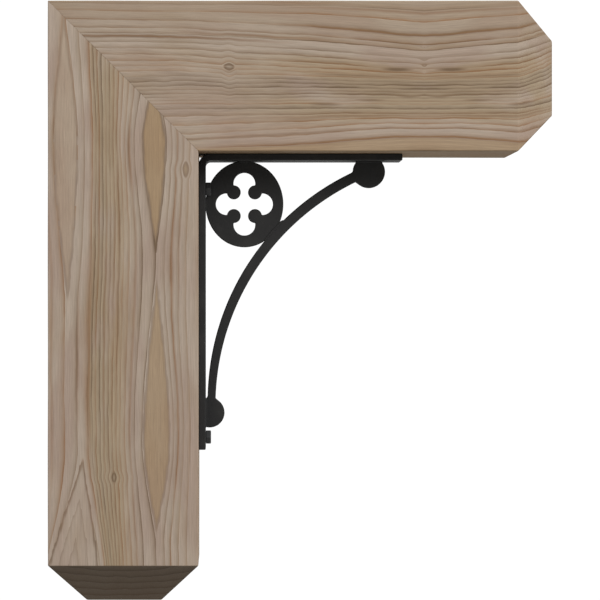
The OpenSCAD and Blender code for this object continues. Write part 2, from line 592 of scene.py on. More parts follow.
    def frame_of(self, g: Graph) -> tuple[Wire, Wire, Wire, Wire]:
        """Places over the width, along the fibres and behind the face.

        The level timber's rings sag towards the middle of its free part, and
        its wander is the same on both sides of that.

        Args:
            g: node tree.

        Returns:
            Across, along, depth, and where the sawn end is.
        """
        x, y, z = g.places()
        depth = y + self.lay.timber_w / 2
        if self.grain is Grain.UPRIGHT:
            start = -self.lay.top_z
            return x, z, depth, g.fall(z, start - 0.3, start + 0.3)
        across = self.lay.top_z - z
        off = g.math("ABSOLUTE", x - self.sag_x)
        soft = g.math("SQRT", off * off + self.sag_soft ** 2)
        run = g.math("TANH", soft / self.sag_reach) * self.sag_reach - self.sag_soft
        upper = g.rise(across, 0.0, 22.0) * 0.6 + 0.4
        upper = upper * g.fall(across, 40.0, 96.0)
        lower = g.rise(across, 98.0, 130.0)
        seen = across + run * (upper * self.sag_over - lower * self.sag_under)
        kink = g.decay(off, 0.20) * g.rise(across, 34.0, 42.0)
        kink = kink * g.fall(across, 66.0, 76.0)
        zigzag = g.math("SINE", across * 1.1) * kink * 1.3
        end = self.lay.bracket_reach
        return (seen - kink * 1.1 + zigzag, off * -1.0, depth,
                g.rise(x, end - 0.3, end - 0.1))

    def build(self) -> bpy.types.Material:
        """Writes the material.

        Returns:
            The material.
        """
        g = Graph(bpy.data.materials.new(self.name))
        across, along, depth, ends = self.frame_of(g)
        width = self.lay.timber_w
        back = g.rise(depth, width / 2 - 1.0, width / 2 + 1.0)
        seen_across = across + (width - across * 2.0) * back
        seen_along = along - (along * 2.0 + 40.0) * back
        near = g.fall(depth, 14.0, 46.0) + g.rise(depth, 94.0, 126.0)
        fray = (self.fray.read(g, across, along, 0.0) - 0.5) * 4.0
        marks = Marks()
        push: Wire | float = 0.0
        for island in self.islands:
            more, edge, patch = self.around(g, island, seen_across, seen_along, fray)
            push = more + push
            marks.dark = g.most(edge, marks.dark)
            marks.inside = g.most(patch, marks.inside)
            if island.warm:
                marks.warm = g.most(patch * island.warm, marks.warm)
        moved = across + push * near * (1.0 - back * 2.0)
        place = self.place_of(g, moved, along, depth)
        marks.dark = near * marks.dark
        for vein in self.veins:
            off = (place - vein.place) / vein.width
            way = (along - vein.along) / vein.reach
            fall = g.decay(off * off)
            force = fall * g.most(1.0 - way * way, 0.0) * vein.force
            marks.dark = g.most(force, marks.dark)
            if vein.hue:
                marks.hue = g.most(fall * vein.hue, marks.hue)
        warm_edge = g.rise(place, self.warm_from, self.warm_from + 1.5) * 0.7
        warm_edge = warm_edge * g.fall(depth, 104.0, 136.0)
        marks.warm = g.most(near * marks.warm, warm_edge)
        marks.inside = near * marks.inside
        clear = 1.0 - ends
        marks = Marks(*(clear * value for value in vars(marks).values()))
        return self.dress(g, (across, along, depth), place, ends, marks)

    def growth(self, g: Graph, where: tuple[Wire, Wire, Wire], place: Wire, ends: Wire,
               inside: Wire) -> tuple[Wire, Wire, Wire, Wire]:
        """Growth lines: each is sharp towards the next ring and soft behind.

        A line's strength is exp(-0.62 distance), its soft side is
        exp(-(0.12 + 1.4 slope) distance), and the distance is what is left of
        the ring over how fast the count rises.

        Args:
            g: node tree.
            where: place over the width, along the fibres and behind the face.
            place: place among the rings.
            ends: where the sawn end is.
            inside: where the islands are.

        Returns:
            Strength of the line, its soft side, how orange it is, and how dense
            the rings are.
        """
        across, along, depth = where
        low, high = self.span
        count_stops, slope_stops, top = self.ring_ramps()
        share = (place - low) / (high - low)
        slope = g.ramp(share, slope_stops)
        count = g.ramp(share, count_stops) * top
        if self.grain is Grain.UPRIGHT:
            beside, behind = across - self.pith[0], depth + self.pith[1]
            turned = g.math("SQRT", beside * beside * 0.16 + behind * behind)
            wave = g.noise(g.vector(across * 0.05, 0.0, depth * 0.05), 1.0, 2.0)
            count = count + (turned / self.end_ring + wave * 0.7 - count) * ends
            slope = slope + (1.0 / self.end_ring - slope) * ends
        ring = g.math("FLOOR", count)
        to_line = (1.0 - g.math("FRACT", count)) / slope
        soft = g.decay(to_line * (slope * 1.4 + 0.12)) * (1.0 - inside)

        def pick(offset: float) -> Wire:
            """Number from 0 to 1 that belongs to a ring."""
            return g.wire(g.node("ShaderNodeTexWhiteNoise", {"noise_dimensions": "1D"},
                                 {"W": ring + offset}))

        calm = 1.0 - g.rise(along * -1.0, 80.0, 190.0) * self.calm
        fade = g.noise(g.vector(ring * 3.7, along * 0.016, depth * 0.016), 1.0, 3.0)
        force = (0.46 + pick(0.5) * 0.62) * (0.45 + g.rise(fade, 0.32, 0.62) * 0.8)
        force = force * (calm * 0.6 + 0.4) * self.bold
        force = force + (0.9 - force) * ends
        line = g.decay(to_line, 0.62) * force * (1.0 - inside)
        hue = g.rise(pick(40.5), 0.30, 0.65) * (1.0 - inside)
        return line, soft, hue, g.rise(slope, 0.14, 0.24) * calm

    def dress(self, g: Graph, where: tuple[Wire, Wire, Wire], place: Wire, ends: Wire,
              marks: Marks) -> bpy.types.Material:
        """Turns the rings to colour, roughness and relief, with painted shade on the sawn
        ends.

        Args:
            g: node tree.
            where: place over the width, along the fibres and behind the face.
            place: place among the rings.
            ends: where the sawn end is.
            marks: what the islands and veins do.

        Returns:
            The material.
        """
        line, soft, ring_hue, dense = self.growth(g, where, place, ends, marks.inside)
        line = g.math("MINIMUM", g.most(line, marks.dark), 1.0)
        hue = g.most(ring_hue * (1.0 - marks.dark), marks.hue)
        fibre, hair, cloud, tone = (waves.read(g, *where) for waves in
                                    (self.fibre, self.hair, self.cloud, self.tone))
        shaded = g.fall(place, self.shaded_to - 34.0, self.shaded_to)
        base = g.blend(g.rise(tone, 0.40, 0.62), self.light, self.rosy)
        # The last blend darkens the sawn ends: real end grain plus painted shade.
        for share, colour in (
                (dense * g.rise(cloud, 0.30, 0.55) * 0.62, self.olive),
                (soft * 0.42 + g.rise(cloud, 0.5, 0.8) * 0.35, self.middle),
                (shaded * 0.42, self.middle), (marks.warm * 0.9, self.warm),
                (ends * 0.85, self.end_grain_and_painted_shade)):
            base = g.blend(share, base, colour)
        # Growth lines on the sawn ends are near black: end grain plus painted shade.
        tint = g.blend(ends * 0.8, g.blend(hue, self.dark, self.orange), self.end_lines_and_painted_shade)
        base = g.blend(line * 0.88, base, tint)
        streaks = 1.0 + (fibre - 0.5) * 0.55 + (hair - 0.5) * 0.50
        base = g.blend(1.0, base, g.vector(streaks, streaks, streaks), "MULTIPLY")
        rough = 0.66 + fibre * 0.12 - line * 0.06
        relief = fibre * 0.5 + hair * 0.35 + line * 0.3
        return g.surface({"Base Color": base, "Roughness": rough,
                          "Specular IOR Level": 0.30}, relief, 0.12 * MM)


@dataclass(frozen=True)
class IronFinish:
    """Matt black coat over forged iron.

    Attributes:
        name: name of the material.
        coat: colour of the coat.
        worn: colour where the coat is thin.
        shine: strength of its reflection.
        rough: middle roughness.
        dents: height of the forging marks, in metres.
    """

    name: str
    coat: Colour = (0.0192, 0.0189, 0.0192)
    worn: Colour = (0.034, 0.033, 0.032)
    shine: float = 0.22
    rough: float = 0.60
    dents: float = 0.00022

    def build(self) -> bpy.types.Material:
        """Writes the material, its noises read in millimetres.

        Returns:
            The material.
        """
        g = Graph(bpy.data.materials.new(self.name))
        x, y, z = g.places()
        where = g.vector(x, y, z)
        clouds = g.noise(where, 0.045, 2.0)
        forged = g.noise(where, 0.16, 1.0)
        grit = g.noise(where, 1.7, 2.0, 0.6)
        wear = g.rise(clouds, 0.48, 0.78) * 0.6 + g.rise(grit, 0.62, 0.8) * 0.35
        colour = g.blend(wear, self.coat, self.worn)
        rough = self.rough + (clouds - 0.5) * 0.16 + (grit - 0.5) * 0.12
        return g.surface({"Base Color": colour, "Roughness": rough,
                          "Specular IOR Level": self.shine},
                         forged * 0.75 + grit * 0.25, self.dents)


@dataclass(frozen=True)
class PlainFinish:
    """Even, matt finish of the studio floor."""

    name: str
    colour: Colour

    def build(self) -> bpy.types.Material:
        """Writes the material."""
        g = Graph(bpy.data.materials.new(self.name))
        return g.surface({"Base Color": self.colour, "Roughness": 0.9})


# ---- Mesh making ----
@dataclass
class Shell:
    """Closed surface: its points in millimetres and its four-sided faces."""

    points: np.ndarray
    faces: np.ndarray

    @classmethod
    def of_grid(cls, grid: np.ndarray, round_rows: bool = False) -> "Shell":
        """Makes the faces of a grid of points, closed round its columns.

        Args:
            grid: points by row and column, three parts each.
            round_rows: whether the last row meets the first.

        Returns:
            The shell.
        """
        rows, columns = grid.shape[:2]
        ids = np.arange(rows * columns).reshape(rows, columns)
        if round_rows:
            ids = np.vstack([ids, ids[:1]])
        ids = np.hstack([ids, ids[:, :1]])
        quads = np.stack([ids[:-1, :-1], ids[1:, :-1], ids[1:, 1:], ids[:-1, 1:]], -1)
        return cls(grid.reshape(-1, 3), quads.reshape(-1, 4))

    @classmethod
    def joined(cls, shells: list["Shell"]) -> "Shell":
        """Puts several shells in one.

        Args:
            shells: the shells.

        Returns:
            One shell.
        """
        starts = np.cumsum([0] + [len(s.points) for s in shells[:-1]])
        return cls(np.vstack([s.points for s in shells]),
                   np.vstack([s.faces + n for s, n in zip(shells, starts)]))

    def piece(self, name: str, node: str | None, slot: str,
              material: bpy.types.Material) -> bpy.types.Object:
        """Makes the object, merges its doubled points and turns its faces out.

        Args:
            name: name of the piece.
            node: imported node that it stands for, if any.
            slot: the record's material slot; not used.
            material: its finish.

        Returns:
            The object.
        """
        mesh = bpy.data.meshes.new(name)
        mesh.from_pydata((self.points * MM).tolist(), [], self.faces.tolist())
        soft = bmesh.new()
        soft.from_mesh(mesh)
        bmesh.ops.remove_doubles(soft, verts=soft.verts, dist=MERGE_REACH)
        bmesh.ops.dissolve_degenerate(soft, edges=soft.edges, dist=MERGE_REACH / 10)
        bmesh.ops.recalc_face_normals(soft, faces=soft.faces)
        soft.to_mesh(mesh)
        soft.free()
        mesh.polygons.foreach_set("use_smooth", np.ones(len(mesh.polygons), bool))
        mesh.materials.append(material)
        made = placed(name, mesh)
        steady = made.modifiers.new("even_shading", "WEIGHTED_NORMAL")
        steady.keep_sharp = False
        steady.weight = WIDE_FACE_WEIGHT
        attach(made, BODY)
        if node:
            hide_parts(node)
        LOG.info("%s: %d faces", name, len(mesh.polygons))
        return made


def placed(name: str, data: bpy.types.ID) -> bpy.types.Object:
    """New object in the scene, at the origin."""
    made = bpy.data.objects.new(name, data)
    bpy.context.scene.collection.objects.link(made)
    return made


def ways(angle: np.ndarray) -> np.ndarray:
    """Unit directions at some angles, one row each."""
    return np.stack([np.cos(angle), np.sin(angle)], 1)


def run_to(space: np.ndarray | float, towards: np.ndarray, least: float,
           otherwise: float) -> np.ndarray:
    """How far to go to a flat.

    Args:
        space: distance to the flat, square to it.
        towards: share of each way that leads towards the flat.
        least: share below which the flat is never met.
        otherwise: what to give back there.

    Returns:
        The space over the share.
    """
    return np.where(towards > least, space / np.maximum(towards, least), otherwise)


def rounded(points: np.ndarray, radius: float, steps: int = 4) -> np.ndarray:
    """Rounds the inner corners of an open line.

    Each corner is replaced by points on the curve that starts and ends a
    tangent's length from it: the corner weighted by 2t(1 - t), and the two
    tangent points by (1 - t) squared and t squared.

    Args:
        points: the line's points.
        radius: tangent length at each corner.
        steps: points for each curve, less one.

    Returns:
        The rounded line.
    """
    corner = points[1:-1]
    before, after = points[:-2] - corner, points[2:] - corner
    start = corner + before * (radius / np.linalg.norm(before, axis=1))[:, None]
    end = corner + after * (radius / np.linalg.norm(after, axis=1))[:, None]
    t = np.linspace(0.0, 1.0, steps + 1)[None, :, None]
    curve = (start[:, None] * (1 - t) ** 2 + 2 * t * (1 - t) * corner[:, None]
             + end[:, None] * t ** 2)
    return np.vstack([points[:1], curve.reshape(-1, points.shape[1]), points[-1:]])


def box_section(flats: int, arcs: int) -> tuple[np.ndarray, np.ndarray]:
    """Way round a rounded box, as a point of a unit square and a direction.

    A point of the section is the unit square's point times the half sizes less
    the edge radius, plus the direction times the edge radius.

    Args:
        flats: points along each side.
        arcs: steps round each edge.

    Returns:
        Points of the unit square and directions, one row each.
    """
    turn = np.arange(4) * (math.pi / 2)
    bend = np.linspace(-math.pi / 4, math.pi / 4, arcs + 1)
    side = np.linspace(-1.0, 1.0, flats + 2)[1:-1]
    angle = np.concatenate([bend, np.full(flats, math.pi / 4)])
    along = np.concatenate([np.full(arcs + 1, -1.0), side])
    angle = (angle[None] + turn[:, None]).ravel()
    along = np.tile(along, 4)
    turns = np.repeat(turn, arcs + 1 + flats)
    face = turns + math.pi / 4
    normal = ways(face)
    tangent = np.stack([-normal[:, 1], normal[:, 0]], 1)
    square = normal + tangent * along[:, None]
    spin = np.array([[math.cos(math.pi / 4), -math.sin(math.pi / 4)],
                     [math.sin(math.pi / 4), math.cos(math.pi / 4)]])
    return square @ spin, ways(angle) @ spin


def eased(outline: np.ndarray, reach: float) -> np.ndarray:
    """Softens the corners of a closed outline with a running weighted mean.

    Args:
        outline: evenly spaced points.
        reach: distance over which the mean is taken.

    Returns:
        The softened outline.
    """
    step = np.linalg.norm(np.diff(outline[:, :2], axis=0), axis=1).mean()
    half = max(1, int(round(reach / step)))
    weights = np.hanning(2 * half + 3)[1:-1]
    weights /= weights.sum()
    moved = [np.roll(outline, k, axis=0) * w
             for k, w in zip(range(-half, half + 1), weights)]
    return np.sum(moved, axis=0)


def even(outline: np.ndarray, count: int) -> np.ndarray:
    """Spaces the points of a closed outline evenly.

    Args:
        outline: its points, with any further columns that go with them.
        count: how many points to give back.

    Returns:
        The evenly spaced points.
    """
    closed = np.vstack([outline, outline[:1]])
    steps = np.linalg.norm(np.diff(closed[:, :2], axis=0), axis=1)
    run = np.concatenate([[0], np.cumsum(steps)])
    want = np.linspace(0, run[-1], count, endpoint=False)
    return np.stack([np.interp(want, run, column) for column in closed.T], 1)


def outward(outline: np.ndarray) -> np.ndarray:
    """Directions square to a closed outline, on the right of its way round.

    Args:
        outline: its points.

    Returns:
        One unit direction for each point.
    """
    way = np.roll(outline, -1, axis=0) - np.roll(outline, 1, axis=0)
    way /= np.maximum(np.linalg.norm(way, axis=1), 1e-9)[:, None]
    return np.stack([way[:, 1], -way[:, 0]], 1)


def arc_edge(radius: float, steps: int = 4) -> tuple[np.ndarray, np.ndarray]:
    """Quarter round of an edge: inset and drop, from the face to the wall.

    Args:
        radius: radius of the edge.
        steps: steps of the quarter round.

    Returns:
        Insets and drops.
    """
    t = np.linspace(0.0, math.pi / 2, steps + 1)
    return radius * (1 - np.sin(t)), radius * (1 - np.cos(t))


# ---- The pieces ----
@dataclass
class Timber:
    """Square timber with a mitre at one end and four chamfers at the other.

    Attributes:
        name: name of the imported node.
        grain: way that it runs.
        length: from the mitre's sharp end to the free end.
        lay: shared sizes.
        edge_r: radius that its long edges are eased to.
        edge_wear: ten times the depth of the waves that they are worn to.
        mitre_ease: how far the edges of the mitre are eased.
        chamfer_ease: tangent length of the chamfers' edges.
        flat_in: how far the flat parts beside the chamfers reach.
        body_steps: sections along the plain part.
        wave_run: run over which the edges' waves turn by one radian.
    """

    name: str
    grain: Grain
    length: float
    lay: Layout
    edge_r: float = 1.3
    edge_wear: float = 1.0
    mitre_ease: float = 0.35
    chamfer_ease: float = 0.9
    flat_in: float = 4.0
    body_steps: int = 40
    wave_run: float = 31.0

    def stations(self) -> np.ndarray:
        """Half width against run, from the middle of the mitre to the far end.

        Returns:
            Rows of share of the way down the plain part, run beyond its start,
            and half width. Share 0 keeps the slope of the mitre, and 1 is square.
        """
        half = self.lay.timber_w / 2
        cut = self.lay.end_chamfer
        plain = self.length - cut
        ease = self.mitre_ease
        inner = np.linspace(0.0, 1.0, 6)[:-1]
        cap = [(0.0, 0.0, (half - ease) * k) for k in inner]
        edge = [(0.0, 0.0, half - ease), (0.0, 0.3 * ease, half - 0.3 * ease),
                (0.0, ease, half)]
        body = [(t, 0.0, half) for t in np.linspace(0.02, 0.98, self.body_steps)]
        rim = half - cut - self.flat_in
        end = rounded(np.array([[plain - self.flat_in, half], [plain, half],
                                [plain + cut, half - cut], [plain + cut, rim]]),
                      self.chamfer_ease)
        tail = [(1.0, run - plain, h) for run, h in end]
        far = [(1.0, cut, rim * k) for k in inner[::-1]]
        return np.array(cap + edge + body + tail + far)

    def shell(self) -> Shell:
        """Carries a rounded square along the timber.

        A point starts at a run equal to its own depth below the outer corner,
        which is the 45 degree mitre, and goes evenly to where the chamfers
        start. From there every section is square to the timber.

        Returns:
            The shell.
        """
        square, way = box_section(flats=9, arcs=5)
        share, beyond, half = (self.stations().T)[:, :, None]
        radius = np.minimum(self.edge_r, half)
        u = square[None, :, 0] * (half - radius) + way[None, :, 0] * radius
        v = square[None, :, 1] * (half - radius) + way[None, :, 1] * radius
        mitre = u + self.lay.timber_w / 2
        plain = self.length - self.lay.end_chamfer
        run = mitre * (1 - share) + plain * share + beyond
        wave = 1 + np.sin(run / self.wave_run + 2.0 * np.sign(u) + np.sign(v))
        near_edge = np.clip((np.abs(u) + np.abs(v)) / np.maximum(half, 1) - 1.9, 0, 0.1)
        kept = 1 - self.edge_wear * wave * near_edge / half.max()
        u, v = u * kept, v * kept
        depth = u + self.lay.timber_w / 2
        if self.grain is Grain.UPRIGHT:
            return Shell.of_grid(np.stack([depth, v, self.lay.top_z - run], -1))
        return Shell.of_grid(np.stack([run, v, self.lay.top_z - depth], -1))

    def build(self, finish: TimberFinish) -> bpy.types.Object:
        """Makes the timber in that finish."""
        return self.shell().piece(f"{self.name}_timber", self.name, "timber",
                                  finish.build())


@dataclass
class Ironwork:
    """Piece of the ironwork, with the sizes that the bracket's pieces share."""

    lay: Layout
    piece_name: ClassVar[str] = ""
    node: ClassVar[str | None] = None

    def shell(self) -> Shell:
        """Surface of the piece."""
        raise NotImplementedError

    def build(self, finish: bpy.types.Material) -> bpy.types.Object:
        """Makes the piece in that finish."""
        return self.shell().piece(self.piece_name, self.node, "black_iron", finish)


@dataclass
class IronStrap(Ironwork):
    """Flat bar bent to an L, laid in the inner corner of the timbers."""

    piece_name: ClassVar[str] = "iron_strap_bar"
    node: ClassVar[str] = "iron_strap"
    edge_r: float = 0.9
    bend_steps: int = 14
    leg_steps: int = 30

    def path(self) -> tuple[np.ndarray, np.ndarray]:
        """Middle line of the bar and the direction of its thickness.

        Returns:
            Points in X and Z, and unit directions away from the timbers.
        """
        lay = self.lay
        mid_r = lay.bend_r + lay.strap_t / 2
        centre = np.array([lay.leg_x + lay.bend_r, lay.leg_z - lay.bend_r])
        steps = self.leg_steps
        leg = np.linspace(lay.post_leg_end, centre[1], steps)
        rise = np.stack([np.full(steps, centre[0] - mid_r), leg], 1)
        turn = np.linspace(math.pi, math.pi / 2, self.bend_steps + 1)[1:-1]
        way = ways(turn)
        arm = np.linspace(centre[0], lay.beam_leg_end, steps)
        level = np.stack([arm, np.full(steps, centre[1] + mid_r)], 1)
        inward = np.vstack([np.tile([1.0, 0.0], (steps, 1)), -way,
                            np.tile([0.0, -1.0], (steps, 1))])
        return np.vstack([rise, centre + mid_r * way, level]), inward

    def shell(self) -> Shell:
        """Carries a rounded bar section along the middle line.

        Each end draws in by the edge radius over a quarter round, and closes
        with sections that shrink to a point in the end's own plane.

        Returns:
            The shell.
        """
        lay = self.lay
        line, inward = self.path()
        inset, drop = arc_edge(self.edge_r)
        ends = []
        for first, second in ((0, 1), (-1, -2)):
            way = line[second] - line[first]
            way /= np.linalg.norm(way)
            ends.append(line[first] + way * drop[:, None])
        spine = np.vstack([ends[0][:1], ends[0][:1], ends[0], line[1:-1],
                           ends[1][::-1], ends[1][:1], ends[1][:1]])
        count = len(inset)
        face = np.vstack([np.tile(inward[0], (count + 2, 1)), inward[1:-1],
                          np.tile(inward[-1], (count + 2, 1))])
        shrink = np.concatenate([[0.0, 0.5], np.ones(len(spine) - 4), [0.5, 0.0]])
        closed = [self.edge_r] * 2
        pull = np.concatenate([closed, inset, np.zeros(len(line) - 2), inset[::-1],
                               closed])
        square, way = box_section(flats=7, arcs=4)
        half = np.stack([lay.strap_t / 2 - pull, lay.strap_w / 2 - pull], 1)[:, None]
        radius = np.minimum(self.edge_r, half.min(-1, keepdims=True))
        flat = square[None] * (half - radius) + way[None] * radius
        flat = flat * shrink[:, None, None]
        points = np.empty((len(spine), len(square), 3))
        points[..., 0] = spine[:, None, 0] + face[:, None, 0] * flat[..., 0]
        points[..., 1] = flat[..., 1]
        points[..., 2] = spine[:, None, 1] + face[:, None, 1] * flat[..., 0]
        return Shell.of_grid(points)


def plate(outline: np.ndarray, inner: np.ndarray, thick: float, edge_r: float,
          bridge: np.ndarray | None = None) -> Shell:
    """Upright plate with eased edges between an outline and an inner line.

    The front runs straight from each outline point to its inner point, the back
    mirrors it, and a quarter round leads over each edge to the wall. The inner
    line is a spine on which both sides of the plate meet. With a bridge, which
    is a line between the two, it is an opening's outline with its own wall.

    Args:
        outline: outer points in X and Z.
        inner: as many inner points.
        thick: thickness.
        edge_r: radius of the eased edges.
        bridge: line that the face passes through, for a plate with an opening.

    Returns:
        The shell.
    """
    inset, drop = arc_edge(edge_r)
    level = drop - thick / 2

    def edge(line: np.ndarray, out: bool) -> np.ndarray:
        """Rows of a quarter round along the edge of a plate.

        Args:
            line: the edge's outline.
            out: whether it is the outer edge, and not an opening's.

        Returns:
            The rows, from the face to the wall.
        """
        side = outward(line)
        if (np.sum((line - line.mean(0)) * side) < 0) == out:
            side = -side
        return line[None] - side[None] * inset[:, None, None]

    rows = [(inner if bridge is None else bridge)[None], edge(outline, True)]
    levels = [[-thick / 2], level]
    if bridge is not None:
        rows.insert(0, edge(inner, False)[::-1])
        levels.insert(0, level[::-1])
    flat, y = np.concatenate(rows), np.concatenate(levels)
    flat = np.concatenate([flat, flat[::-1]])
    y = np.concatenate([y, -y[::-1]])[:, None] * np.ones(len(outline))
    grid = np.stack([flat[..., 0], y, flat[..., 1]], -1)
    return Shell.of_grid(grid, round_rows=bridge is not None)


@dataclass
class QuatrefoilRing(Ironwork):
    """Oval plate with a quatrefoil opening, cut to fit the strap and the brace."""

    piece_name: ClassVar[str] = "quatrefoil_plate"
    node: ClassVar[str] = "quatrefoil_ring"
    lobe_r: float = 10.3
    lobe_out_x: float = 16.75
    lobe_out_z: float = 19.45
    cusp_r: float = 6.55
    cusp_out_x: float = 10.0
    cusp_out_z: float = 11.2
    edge_r: float = 0.8
    stand_off: float = 2.0
    lobe_ease: float = 0.6
    rim_ease: float = 0.7
    count: int = 480

    def crossing(self, a: np.ndarray, ra: float, b: np.ndarray, rb: float) -> np.ndarray:
        """Crossing of two circles that lies farther from the middle.

        Args:
            a: centre of the first.
            ra: its radius.
            b: centre of the second.
            rb: its radius.

        Returns:
            The point.
        """
        gap = b - a
        d = math.hypot(*gap)
        run = (ra ** 2 - rb ** 2 + d ** 2) / (2 * d)
        off = math.sqrt(ra ** 2 - run ** 2)
        way = gap / d
        both = [a + way * run + off * s * np.array([-way[1], way[0]]) for s in (1, -1)]
        return max(both, key=lambda p: math.hypot(*p))

    def opening(self) -> tuple[np.ndarray, np.ndarray]:
        """Outline of the opening and the line in the plate's face behind it.

        Half of the level lobe, the near side of the cusp and half of the
        upright lobe follow each other as arcs, and are turned over both ways.
        The line behind them stands off the lobes and goes straight over the
        root of each cusp.

        Returns:
            Points round the opening, and as many points of the line.
        """
        level = np.array([self.lobe_out_x, 0.0])
        upright = np.array([0.0, self.lobe_out_z])
        cusp = np.array([self.cusp_out_x, self.cusp_out_z])
        one = self.crossing(level, self.lobe_r, cusp, self.cusp_r)
        two = self.crossing(upright, self.lobe_r, cusp, self.cusp_r)

        def heading(point: np.ndarray, centre: np.ndarray) -> float:
            """Angle of a point about a centre."""
            return math.atan2(*(point - centre)[::-1])

        def arc(centre: np.ndarray, radius: float, start: float, end: float) -> np.ndarray:
            """Points on an arc from one angle to another."""
            t = np.linspace(start, end, 60)
            return centre + radius * ways(t)

        lobes = [(level, 0.0, heading(one, level)),
                 (upright, heading(two, upright), math.pi / 2)]
        near = [arc(centre, self.lobe_r, *ends) for centre, *ends in lobes]
        far = [arc(centre, self.lobe_r + self.stand_off, *ends) for centre, *ends in lobes]
        bite = arc(cusp, self.cusp_r, heading(one, cusp),
                   heading(two, cusp) - 2 * math.pi)[1:-1]
        t = np.linspace(0, 1, len(bite) + 2)[1:-1, None]
        root = far[0][-1] * (1 - t) + far[1][0] * t
        quarter = np.hstack([np.vstack([near[0], bite, near[1]]),
                             np.vstack([far[0], root, far[1]])])
        half = np.vstack([quarter, (quarter * [-1, 1, -1, 1])[::-1][1:]])
        whole = np.vstack([half, (half * [1, -1, 1, -1])[::-1][1:-1]])
        both = eased(even(whole, self.count), self.lobe_ease)
        return both[:, :2], both[:, 2:]

    def outer(self, angle: np.ndarray) -> np.ndarray:
        """Outer edge by angle: the nearest of the oval, the strap and the brace.

        Args:
            angle: directions from the ring's centre.

        Returns:
            Points, measured from the ring's centre.
        """
        lay = self.lay
        way = ways(angle)
        oval = 1 / np.hypot(way[:, 0] / lay.ring_half_w, way[:, 1] / lay.ring_half_h)
        wide = run_to(lay.ring_half_w - lay.weld_flat, -way[:, 0], 1e-3, np.inf)
        high = run_to(lay.ring_half_h - lay.weld_flat, way[:, 1], 1e-3, np.inf)
        gap = lay.bar_outer - lay.ring
        along = way @ gap
        reach = lay.bar_outer_r + lay.weld_gap
        left = reach ** 2 - (gap @ gap - along ** 2)
        curve = np.where(left > 0, along - np.sqrt(np.maximum(left, 0)), np.inf)
        curve = np.where(along > 0, curve, np.inf)
        reach = np.minimum.reduce([oval, wide, high, curve])
        return way * reach[:, None]

    def shell(self) -> Shell:
        """Runs from the opening over the line behind it to the outer edge.

        Returns:
            The shell.
        """
        inner, behind = self.opening()
        outer = self.outer(np.arctan2(behind[:, 1], behind[:, 0]))
        outer = eased(outer, self.rim_ease)
        return plate(self.lay.ring + outer, self.lay.ring + inner,
                     self.lay.plate_t, self.edge_r, self.lay.ring + behind)


@dataclass
class CurvedBrace(Ironwork):
    """Curved bar with a round disc at each end."""

    piece_name: ClassVar[str] = "curved_brace_bar"
    node: ClassVar[str] = "curved_brace"
    edge_r: float = 1.1
    bar_steps: int = 150
    disc_steps: int = 44
    spine_low: float = 2.5
    spine_high: float = 5.5

    def edges(self, angle: np.ndarray) -> tuple[np.ndarray, np.ndarray]:
        """Inner and outer radius of the bar and its discs, by angle.

        A disc's near and far side lie at its centre's distance times the cosine
        of the angle between them, less or plus the root of what is left.

        Args:
            angle: directions from the centre of the inner edge.

        Returns:
            Inner and outer distances from that centre.
        """
        lay = self.lay
        turn = angle - lay.bar_wide_at
        outer = (lay.bar_set_off * np.cos(turn)
                 + np.sqrt(lay.bar_outer_r ** 2 - (lay.bar_set_off * np.sin(turn)) ** 2))
        inner = np.full_like(angle, lay.brace_r)
        for centre, radius in ((lay.upper_disc, lay.upper_disc_r),
                               (lay.lower_disc, lay.lower_disc_r)):
            gap = centre - lay.brace
            arm = math.hypot(*gap)
            swing = angle - math.atan2(gap[1], gap[0]) % (2 * math.pi)
            left = radius ** 2 - (arm * np.sin(swing)) ** 2
            inside = left > 0
            root = np.sqrt(np.maximum(left, 0))
            outer = np.where(inside, np.maximum(outer, arm * np.cos(swing) + root), outer)
            inner = np.where(inside, np.minimum(inner, arm * np.cos(swing) - root), inner)
        return inner, outer

    def trimmed(self, start: np.ndarray, points: np.ndarray) -> np.ndarray:
        """Draws points back towards their start where they pass the strap.

        Args:
            start: where each point is drawn towards.
            points: the points.

        Returns:
            The points, none of them behind the strap's faces.
        """
        way = points - start
        wide = run_to(start[:, 0] - self.lay.leg_x, -way[:, 0], 1e-9, 1)
        high = run_to(self.lay.leg_z - start[:, 1], way[:, 1], 1e-9, 1)
        share = np.clip(np.minimum(wide, high), 0, 1)
        return start + way * share[:, None]

    def cap(self, centre: np.ndarray, radius: float, heading: float,
            sign: float) -> np.ndarray:
        """Far half of a disc, from its outer side round to its inner side.

        Args:
            centre: centre of the disc.
            radius: its radius.
            heading: direction from the brace's centre to the disc.
            sign: 1 where the bar's end turns forwards, -1 where it turns back.

        Returns:
            The points, without the two that lie on the bar's own stations.
        """
        t = np.linspace(0, math.pi, self.disc_steps + 2)[1:-1] * sign + heading
        ring = centre + radius * ways(t)
        return self.trimmed(np.tile(centre, (len(ring), 1)), ring)

    def shell(self) -> Shell:
        """Runs round the bar and both discs, paired with a line down the middle.

        Returns:
            The shell.
        """
        lay = self.lay
        up, down = lay.upper_disc - lay.brace, lay.lower_disc - lay.brace
        first = math.atan2(up[1], up[0])
        last = math.atan2(down[1], down[0]) % (2 * math.pi)
        angle = np.linspace(first, last, self.bar_steps)
        way = ways(angle)
        inner, outer = self.edges(angle)
        middle = np.clip((inner + outer) / 2, lay.brace_r + self.spine_low,
                         lay.brace_r + self.spine_high)
        spine = lay.brace + way * middle[:, None]
        spine[0], spine[-1] = lay.upper_disc, lay.lower_disc
        over = self.trimmed(spine, lay.brace + way * outer[:, None])
        under = self.trimmed(spine, lay.brace + way * inner[:, None])
        foot = self.cap(lay.lower_disc, lay.lower_disc_r, last, 1.0)
        head = self.cap(lay.upper_disc, lay.upper_disc_r, first, -1.0)[::-1]
        outline = np.vstack([over, foot, under[::-1], head])
        mids = np.vstack([spine, np.tile(lay.lower_disc, (len(foot), 1)), spine[::-1],
                          np.tile(lay.upper_disc, (len(head), 1))])
        return plate(outline, mids, lay.plate_t, self.edge_r)


